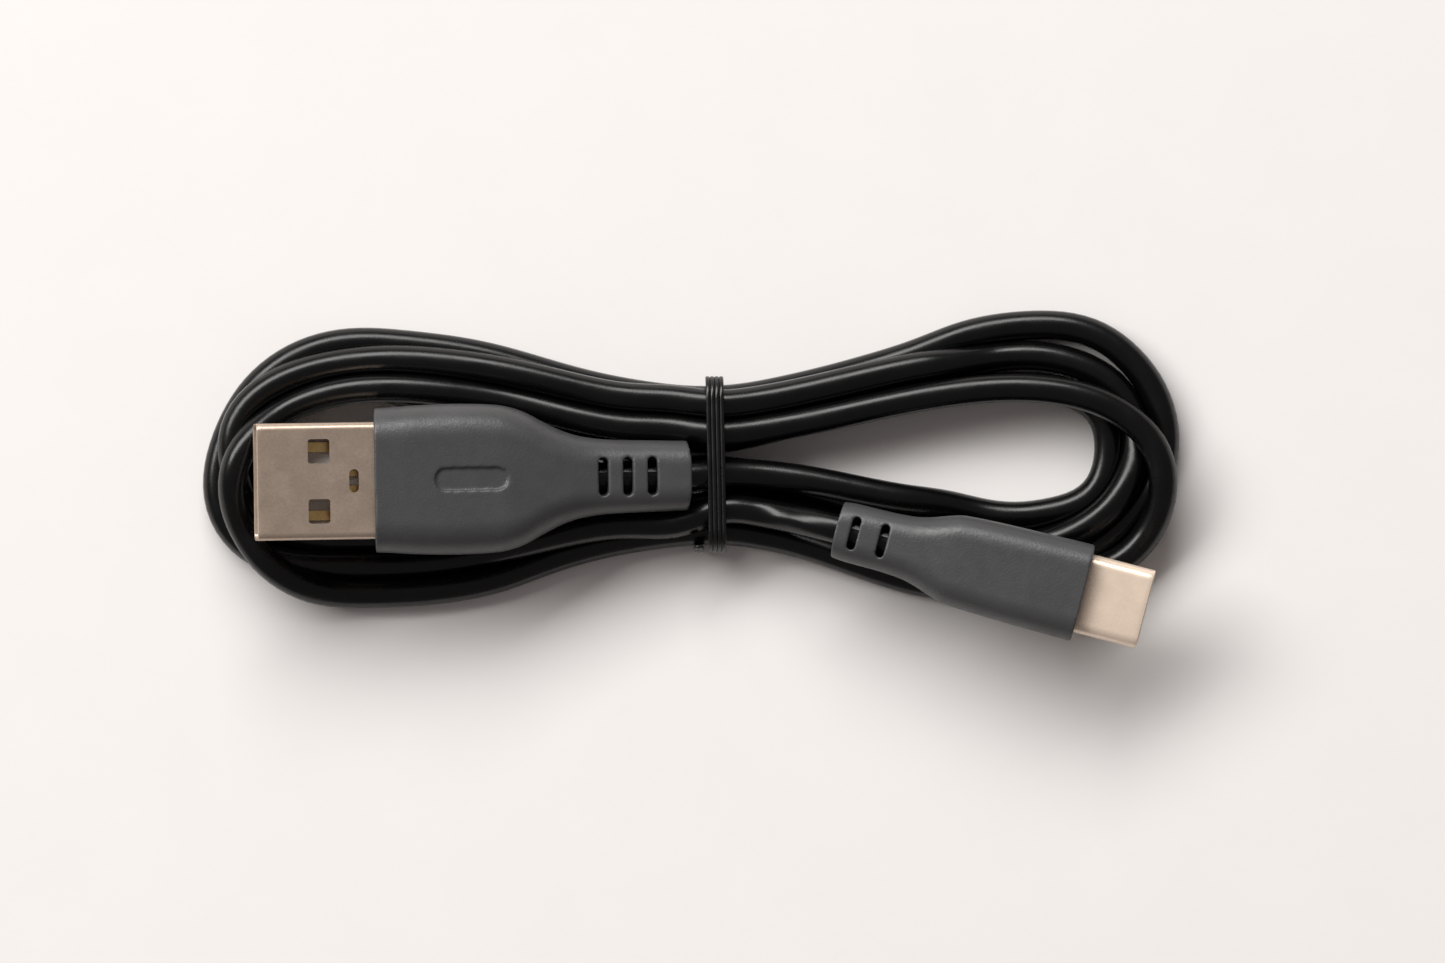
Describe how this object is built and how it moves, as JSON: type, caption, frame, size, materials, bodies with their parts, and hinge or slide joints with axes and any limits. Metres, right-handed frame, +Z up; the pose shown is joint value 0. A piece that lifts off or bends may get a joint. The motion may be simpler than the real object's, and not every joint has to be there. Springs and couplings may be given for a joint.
{
  "type": "charging cable",
  "caption": "Short black charging cable with a wide flat rectangular plug and a small oval plug, wound into a flat hank and held by a ribbed tie.",
  "frame": {"origin": "on the surface the hank lies on, under the middle of the whole cable's box", "axes": "+X along the hank, from the USB-A plug's end to the USB-C plug's end; +Z up, away from the surface; +Y across the hank, away from the USB-C plug's side"},
  "size_m": [0.1, 0.0348, 0.0131],
  "materials": {
    "cord_jacket_black": "smooth black TPE, faint matt sheen",
    "boot_grey_rubber": "matt dark grey, finely textured",
    "champagne_steel": "satin champagne plating",
    "pale_gold_steel": "satin pale gold plating",
    "gold_plating": "gold plated",
    "spring_steel": "bare spring steel",
    "tinned_steel": "tinned",
    "insulator_grey": "moulded grey plastic",
    "contact_carrier_black": "moulded black plastic",
    "board_green": "solder-masked board",
    "tie_black": "ribbed black plastic",
    "wire_red": "insulated wire",
    "wire_black": "insulated wire",
    "wire_green": "insulated wire",
    "wire_white": "insulated wire"
  },
  "bodies": {
    "wound_cord": {"cord_hank": "cord_jacket_black", "cord_lead_usb_c": "cord_jacket_black", "tie_band": "tie_black", "tie_tail": "tie_black"},
    "usb_a_plug": {"usb_a_overmold": "boot_grey_rubber", "usb_a_shell": "champagne_steel", "usb_a_insulator": "insulator_grey", "usb_a_contact_vbus": "gold_plating", "usb_a_contact_dminus": "gold_plating", "usb_a_contact_dplus": "gold_plating", "usb_a_contact_gnd": "gold_plating", "usb_a_shield_can": "tinned_steel", "usb_a_inner_mould": "insulator_grey", "usb_a_cord_end": "cord_jacket_black", "usb_a_wire_red": "wire_red", "usb_a_wire_white": "wire_white", "usb_a_wire_green": "wire_green", "usb_a_wire_black": "wire_black"},
    "usb_c_plug": {"usb_c_overmold": "boot_grey_rubber", "usb_c_shell": "pale_gold_steel", "usb_c_contact_carrier": "contact_carrier_black", "usb_c_contact_gnd_a1": "gold_plating", "usb_c_contact_vbus_a4": "gold_plating", "usb_c_contact_cc_a5": "gold_plating", "usb_c_contact_dplus_a6": "gold_plating", "usb_c_contact_dminus_a7": "gold_plating", "usb_c_contact_vbus_a9": "gold_plating", "usb_c_contact_gnd_a12": "gold_plating", "usb_c_contact_gnd_b12": "gold_plating", "usb_c_contact_vbus_b9": "gold_plating", "usb_c_contact_vconn_b5": "gold_plating", "usb_c_contact_vbus_b4": "gold_plating", "usb_c_contact_gnd_b1": "gold_plating", "usb_c_latch_fork": "spring_steel", "usb_c_paddle_board": "board_green", "usb_c_pullup_resistor": "contact_carrier_black", "usb_c_shield_can": "tinned_steel", "usb_c_inner_mould": "insulator_grey", "usb_c_cord_end": "cord_jacket_black", "usb_c_wire_red": "wire_red", "usb_c_wire_white": "wire_white", "usb_c_wire_green": "wire_green", "usb_c_wire_black": "wire_black"}
  },
  "joints": [
    {"name": "usb_a_lift", "type": "hinge", "parent": "wound_cord", "child": "usb_a_plug", "pos_m": [-0.00028, 0.00038, 0.0059], "axis": [-0.0157, 0.9999, 0], "range_deg": [0, 20]},
    {"name": "usb_c_lift", "type": "hinge", "parent": "wound_cord", "child": "usb_c_plug", "pos_m": [0.01477, -0.00511, 0.0076], "axis": [-0.2521, -0.9677, 0], "range_deg": [0, 25]}
  ]
}
